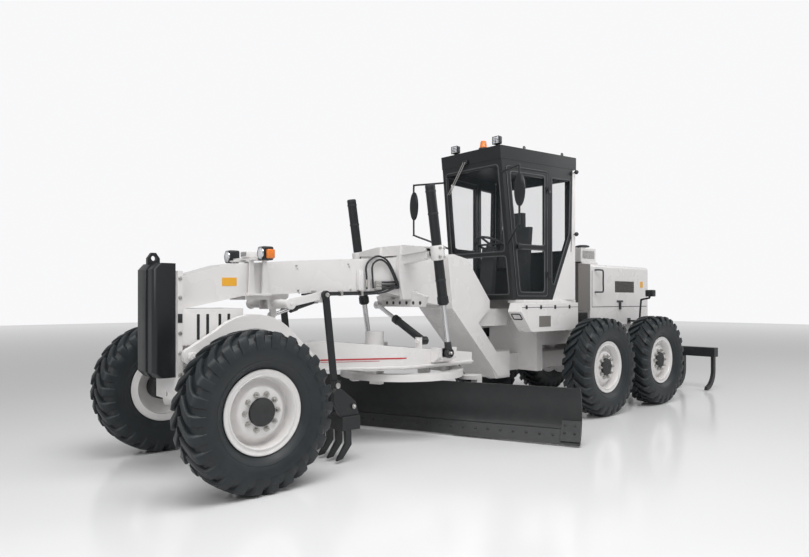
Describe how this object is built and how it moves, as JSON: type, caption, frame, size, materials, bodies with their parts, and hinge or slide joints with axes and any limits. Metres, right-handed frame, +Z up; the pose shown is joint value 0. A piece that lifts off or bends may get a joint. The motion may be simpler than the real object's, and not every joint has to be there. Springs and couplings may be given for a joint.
{
  "type": "motor grader",
  "caption": "Articulated motor grader with cab, angled mid-mounted blade on a circle and drawbar, front scarifier, rear ripper and tandem drive wheels.",
  "frame": {"origin": "middle of the machine's bounding box, on the ground", "axes": "+X forward, +Y to the left, +Z up"},
  "size_m": [9.76, 3.9286, 3.71],
  "materials": {
    "white_paint": "gloss",
    "grey_paint": "satin",
    "black_paint": "satin",
    "tyre_rubber": "matte",
    "glass": "clear",
    "bright_rod": "polished",
    "engine_iron": "rough",
    "cab_trim": "matte"
  },
  "bodies": {
    "rear_frame": {"rear_chassis": "white_paint", "tandem_axle": "white_paint", "cab_shell": "black_paint", "cab_rear_panels": "white_paint", "cab_glass": "glass", "cab_interior": "cab_trim", "mirrors": "black_paint", "work_lamps": "black_paint", "hood": "white_paint", "hood_grilles": "black_paint", "engine_block": "engine_iron", "air_intake": "white_paint", "side_tanks": "white_paint", "step_towers": "grey_paint"},
    "front_frame": {"front_frame": "white_paint", "front_axle": "white_paint", "push_block": "black_paint", "lamp_post": "white_paint", "saddle": "white_paint"},
    "knuckle_left": {"knuckle_left": "white_paint"},
    "knuckle_right": {"knuckle_right": "white_paint"},
    "tie_rod": {"tie_rod": "black_paint"},
    "drawbar": {"drawbar": "white_paint"},
    "circle": {"circle": "white_paint"},
    "blade_carrier": {"blade_carrier": "black_paint"},
    "moldboard": {"moldboard": "black_paint"},
    "lift_barrel": {"lift_barrels": "black_paint"},
    "lift_rod": {"lift_rods": "bright_rod"},
    "shift_barrel": {"shift_barrel": "black_paint"},
    "shift_rod": {"shift_rod": "bright_rod"},
    "tilt_barrel": {"tilt_barrel": "black_paint"},
    "tilt_rod": {"tilt_rod": "bright_rod"},
    "scarifier": {"scarifier_arms": "white_paint", "scarifier_rack": "black_paint"},
    "scarifier_lever": {"scarifier_lever": "white_paint"},
    "scarifier_links": {"scarifier_links": "black_paint"},
    "scarifier_barrel": {"scarifier_barrel": "black_paint"},
    "scarifier_rod": {"scarifier_rod": "bright_rod"},
    "ripper": {"ripper": "black_paint"},
    "ripper_barrel": {"ripper_barrels": "black_paint"},
    "ripper_rod": {"ripper_rods": "bright_rod"},
    "door_left": {"cab_door_left": "black_paint", "door_glass_left": "glass"},
    "door_right": {"cab_door_right": "black_paint", "door_glass_right": "glass"},
    "wheel_front_left": {"tyre_front_left": "tyre_rubber", "rim_front_left": "white_paint"},
    "wheel_front_right": {"tyre_front_right": "tyre_rubber", "rim_front_right": "white_paint"},
    "wheel_tandem_left_front": {"tyre_tandem_left_front": "tyre_rubber", "rim_tandem_left_front": "white_paint"},
    "wheel_tandem_left_rear": {"tyre_tandem_left_rear": "tyre_rubber", "rim_tandem_left_rear": "white_paint"},
    "wheel_tandem_right_front": {"tyre_tandem_right_front": "tyre_rubber", "rim_tandem_right_front": "white_paint"},
    "wheel_tandem_right_rear": {"tyre_tandem_right_rear": "tyre_rubber", "rim_tandem_right_rear": "white_paint"}
  },
  "joints": [
    {"name": "articulation", "type": "hinge", "parent": "rear_frame", "child": "front_frame", "pos_m": [-0.245, 0, 1], "axis": [0, 0, 1], "range_deg": [-20, 20]},
    {"name": "steer_left", "type": "hinge", "parent": "front_frame", "child": "knuckle_left", "pos_m": [4.205, 0.78, 0.675], "axis": [0, 0, 1], "range_deg": [-40, 40]},
    {"name": "steer_right", "type": "hinge", "parent": "front_frame", "child": "knuckle_right", "pos_m": [4.205, -0.78, 0.675], "axis": [0, 0, 1], "range_deg": [-40, 40]},
    {"name": "tie_rod_pivot", "type": "hinge", "parent": "knuckle_left", "child": "tie_rod", "pos_m": [3.975, 0.78, 0.56], "axis": [0, 0, 1], "range_deg": [-40, 40]},
    {"name": "roll_front_left", "type": "hinge", "parent": "knuckle_left", "child": "wheel_front_left", "pos_m": [4.205, 1.03, 0.675], "axis": [0, 1, 0], "continuous": true},
    {"name": "roll_front_right", "type": "hinge", "parent": "knuckle_right", "child": "wheel_front_right", "pos_m": [4.205, -1.03, 0.675], "axis": [0, 1, 0], "continuous": true},
    {"name": "roll_tandem_left_front", "type": "hinge", "parent": "rear_frame", "child": "wheel_tandem_left_front", "pos_m": [-1.12, 1.03, 0.675], "axis": [0, 1, 0], "continuous": true},
    {"name": "roll_tandem_left_rear", "type": "hinge", "parent": "rear_frame", "child": "wheel_tandem_left_rear", "pos_m": [-2.67, 1.03, 0.675], "axis": [0, 1, 0], "continuous": true},
    {"name": "roll_tandem_right_front", "type": "hinge", "parent": "rear_frame", "child": "wheel_tandem_right_front", "pos_m": [-1.12, -1.03, 0.675], "axis": [0, 1, 0], "continuous": true},
    {"name": "roll_tandem_right_rear", "type": "hinge", "parent": "rear_frame", "child": "wheel_tandem_right_rear", "pos_m": [-2.67, -1.03, 0.675], "axis": [0, 1, 0], "continuous": true},
    {"name": "drawbar_lift", "type": "hinge", "parent": "front_frame", "child": "drawbar", "pos_m": [3.785, 0, 1], "axis": [0, 1, 0], "range_deg": [-8, 8]},
    {"name": "circle_turn", "type": "hinge", "parent": "drawbar", "child": "circle", "pos_m": [1.655, 0, 0.73], "axis": [0, 0, 1], "range_deg": [-67, 22]},
    {"name": "blade_tilt", "type": "hinge", "parent": "circle", "child": "blade_carrier", "pos_m": [1.35078, -0.12788, 0.33], "axis": [-0.3875, 0.9219, 0], "range_deg": [-5, 25]},
    {"name": "blade_shift", "type": "slide", "parent": "blade_carrier", "child": "moldboard", "axis": [-0.3875, 0.9219, 0], "range_m": [-0.35, 0.35]},
    {"name": "lift_barrel_hinge", "type": "hinge", "parent": "front_frame", "child": "lift_barrel", "pos_m": [1.758, 0, 2.13], "axis": [0, 1, 0], "range_deg": [-2.43, 2.43]},
    {"name": "lift_rod_slide", "type": "slide", "parent": "lift_barrel", "child": "lift_rod", "axis": [-0.1585, 0, -0.9874], "range_m": [-0.30609, 0.30609]},
    {"name": "scarifier_barrel_hinge", "type": "hinge", "parent": "front_frame", "child": "scarifier_barrel", "pos_m": [2.915, 0, 1.6], "axis": [0, 1, 0], "range_deg": [-1.39, 1.06]},
    {"name": "scarifier_rod_slide", "type": "slide", "parent": "scarifier_barrel", "child": "scarifier_rod", "axis": [0.9595, 0, -0.2817], "range_m": [-0.04467, 0.05889]},
    {"name": "ripper_barrel_hinge", "type": "hinge", "parent": "rear_frame", "child": "ripper_barrel", "pos_m": [-3.725, 0, 1.33], "axis": [0, 1, 0], "range_deg": [-11.35, 18.89]},
    {"name": "ripper_rod_slide", "type": "slide", "parent": "ripper_barrel", "child": "ripper_rod", "axis": [-0.8627, 0, -0.5057], "range_m": [-0.22539, 0.13604]},
    {"name": "shift_rod_hinge", "type": "hinge", "parent": "front_frame", "child": "shift_rod", "pos_m": [1.765, -0.33, 1.535], "axis": [1, 0, 0], "range_deg": [-15.7, 15.7]},
    {"name": "shift_barrel_slide", "type": "slide", "parent": "shift_rod", "child": "shift_barrel", "axis": [0, 0.8966, -0.4428], "range_m": [-0.12226, 0.12226]},
    {"name": "tilt_barrel_hinge", "type": "hinge", "parent": "circle", "child": "tilt_barrel", "pos_m": [1.01891, -0.26739, 0.59], "axis": [-0.3875, 0.9219, 0], "range_deg": [-0.89, 4.27]},
    {"name": "tilt_rod_slide", "type": "slide", "parent": "tilt_barrel", "child": "tilt_rod", "axis": [0.9212, 0.3873, -0.037], "range_m": [-0.0225, 0.10448]},
    {"name": "scarifier_lift", "type": "hinge", "parent": "front_frame", "child": "scarifier", "pos_m": [4.465, 0, 1.1], "axis": [0, 1, 0], "range_deg": [-8, 6]},
    {"name": "scarifier_lever_hinge", "type": "hinge", "parent": "front_frame", "child": "scarifier_lever", "pos_m": [3.475, 0, 1.56], "axis": [0, 1, 0], "range_deg": [-28.62, 21.48]},
    {"name": "scarifier_link_hinge", "type": "hinge", "parent": "scarifier_lever", "child": "scarifier_links", "pos_m": [3.075, 0, 1.65], "axis": [0, 1, 0], "range_deg": [-17.57, 23.42]},
    {"name": "ripper_lift", "type": "hinge", "parent": "rear_frame", "child": "ripper", "pos_m": [-3.725, 0, 0.76], "axis": [0, 1, 0], "range_deg": [-15, 25]},
    {"name": "door_left_hinge", "type": "hinge", "parent": "rear_frame", "child": "door_left", "pos_m": [-0.43337, 0.66545, 2.5], "axis": [0, 0, 1], "range_deg": [0, 85]},
    {"name": "door_right_hinge", "type": "hinge", "parent": "rear_frame", "child": "door_right", "pos_m": [-0.43337, -0.66545, 2.5], "axis": [0, 0, -1], "range_deg": [0, 85]}
  ],
  "couplings": [
    {"joint": "steer_right", "follows": "steer_left", "ratio": 1},
    {"joint": "tie_rod_pivot", "follows": "steer_left", "ratio": -1},
    {"joint": "lift_barrel_hinge", "follows": "drawbar_lift", "ratio": 0.29756},
    {"joint": "lift_rod_slide", "follows": "drawbar_lift", "m_per_rad": -2.1779},
    {"joint": "scarifier_barrel_hinge", "follows": "scarifier_lift", "ratio": 0.1676},
    {"joint": "scarifier_rod_slide", "follows": "scarifier_lift", "m_per_rad": -0.40742},
    {"joint": "ripper_barrel_hinge", "follows": "ripper_lift", "ratio": 0.75365},
    {"joint": "ripper_rod_slide", "follows": "ripper_lift", "m_per_rad": -0.51198},
    {"joint": "shift_rod_hinge", "follows": "drawbar_lift", "ratio": 1.956},
    {"joint": "shift_barrel_slide", "follows": "drawbar_lift", "m_per_rad": -0.86127},
    {"joint": "tilt_barrel_hinge", "follows": "blade_tilt", "ratio": 0.16883},
    {"joint": "tilt_rod_slide", "follows": "blade_tilt", "m_per_rad": 0.23486},
    {"joint": "scarifier_lever_hinge", "follows": "scarifier_lift", "ratio": 3.5712},
    {"joint": "scarifier_link_hinge", "follows": "scarifier_lift", "ratio": -2.9208}
  ]
}
